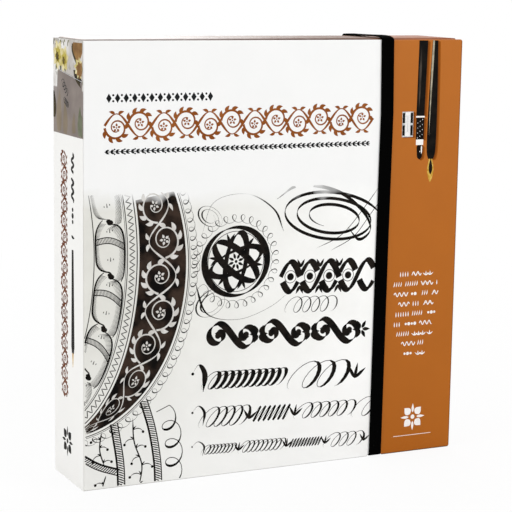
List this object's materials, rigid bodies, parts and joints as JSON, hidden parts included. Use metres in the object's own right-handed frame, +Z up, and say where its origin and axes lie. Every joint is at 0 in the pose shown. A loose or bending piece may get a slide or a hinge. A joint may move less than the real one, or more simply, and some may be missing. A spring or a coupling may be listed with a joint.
{
  "type": "calligraphy set box",
  "caption": "Book-style rigid board box with a hinged front cover, a flat elastic closure and a tray of pens, nibs, ink, a sharpener and paper goods.",
  "frame": {"origin": "middle of the box's footprint, on the surface it stands on", "axes": "+Z up along the spine's height, -Y out of the front cover, +X from the spine to the fore edge"},
  "size_m": [0.255, 0.0532, 0.2683],
  "materials": {
    "printed_board": "satin",
    "lining_paper": "matte",
    "printed_paper": "satin",
    "grey_board": "matte",
    "tray_board": "matte",
    "woven_elastic": "matte",
    "clip_steel": "satin",
    "platform_card": "matte",
    "flocked_foam": "matte",
    "book_board": "satin",
    "book_paper": "matte",
    "card_stock": "matte",
    "envelope_paper": "matte",
    "tag_card": "matte",
    "pen_plastic": "gloss",
    "grip_plastic": "satin",
    "nib_steel": "polished",
    "feed_plastic": "matte",
    "cartridge_plastic": "gloss",
    "pen_trim": "polished",
    "holder_lacquer": "gloss",
    "ferrule_brass": "polished",
    "nib_brass": "polished",
    "sharpener_alloy": "satin",
    "blade_steel": "satin",
    "screw_brass": "satin"
  },
  "bodies": {
    "box": {"spine_wrap": "printed_paper", "spine_board": "grey_board", "back_cover": "printed_board", "tray_floor": "tray_board", "tray_wall_top": "tray_board", "tray_wall_bottom": "tray_board", "tray_wall_spine": "tray_board", "tray_wall_fore": "tray_board", "elastic_band": "woven_elastic", "elastic_clip_top": "clip_steel", "elastic_clip_bottom": "clip_steel", "platform_panel": "platform_card", "platform_ribs": "platform_card", "tool_insert": "flocked_foam", "book_cover": "book_board", "book_pages": "book_paper", "note_cards": "card_stock", "envelopes": "envelope_paper", "gift_tags": "tag_card", "pen_1_barrel": "pen_plastic", "pen_1_grip": "grip_plastic", "pen_1_nib": "nib_steel", "pen_1_feed": "feed_plastic", "pen_1_cartridge": "cartridge_plastic", "pen_2_barrel": "pen_plastic", "pen_2_grip": "grip_plastic", "pen_2_nib": "nib_steel", "pen_2_feed": "feed_plastic", "pen_2_cartridge": "cartridge_plastic", "spare_grip_1": "grip_plastic", "spare_nib_1": "nib_steel", "spare_grip_2": "grip_plastic", "spare_nib_2": "nib_steel", "spare_grip_3": "grip_plastic", "spare_nib_3": "nib_steel", "ink_cartridge_1": "cartridge_plastic", "ink_cartridge_2": "cartridge_plastic", "ink_cartridge_3": "cartridge_plastic", "ink_cartridge_4": "cartridge_plastic", "ink_cartridge_5": "cartridge_plastic", "dip_pen_holder": "holder_lacquer", "dip_pen_ferrule": "ferrule_brass", "dip_pen_nib": "nib_brass", "sharpener_body": "sharpener_alloy", "sharpener_blade": "blade_steel", "sharpener_screw": "screw_brass"},
    "cover": {"front_cover": "printed_board", "cover_lining": "lining_paper"},
    "cap_1": {"pen_1_cap": "pen_plastic", "pen_1_clip": "pen_trim"},
    "cap_2": {"pen_2_cap": "pen_plastic", "pen_2_clip": "pen_trim"}
  },
  "joints": [
    {"name": "cover_hinge", "type": "hinge", "parent": "box", "child": "cover", "pos_m": [-0.1271, -0.0255, 0.13315], "axis": [0, 0, -1], "range_deg": [0, 180], "deforming": ["elastic_band"]},
    {"name": "cap_1_pull", "type": "slide", "parent": "box", "child": "cap_1", "axis": [0, 0, 1], "range_m": [0, 0.0457]},
    {"name": "cap_2_pull", "type": "slide", "parent": "box", "child": "cap_2", "axis": [0, 0, 1], "range_m": [0, 0.0457]}
  ]
}
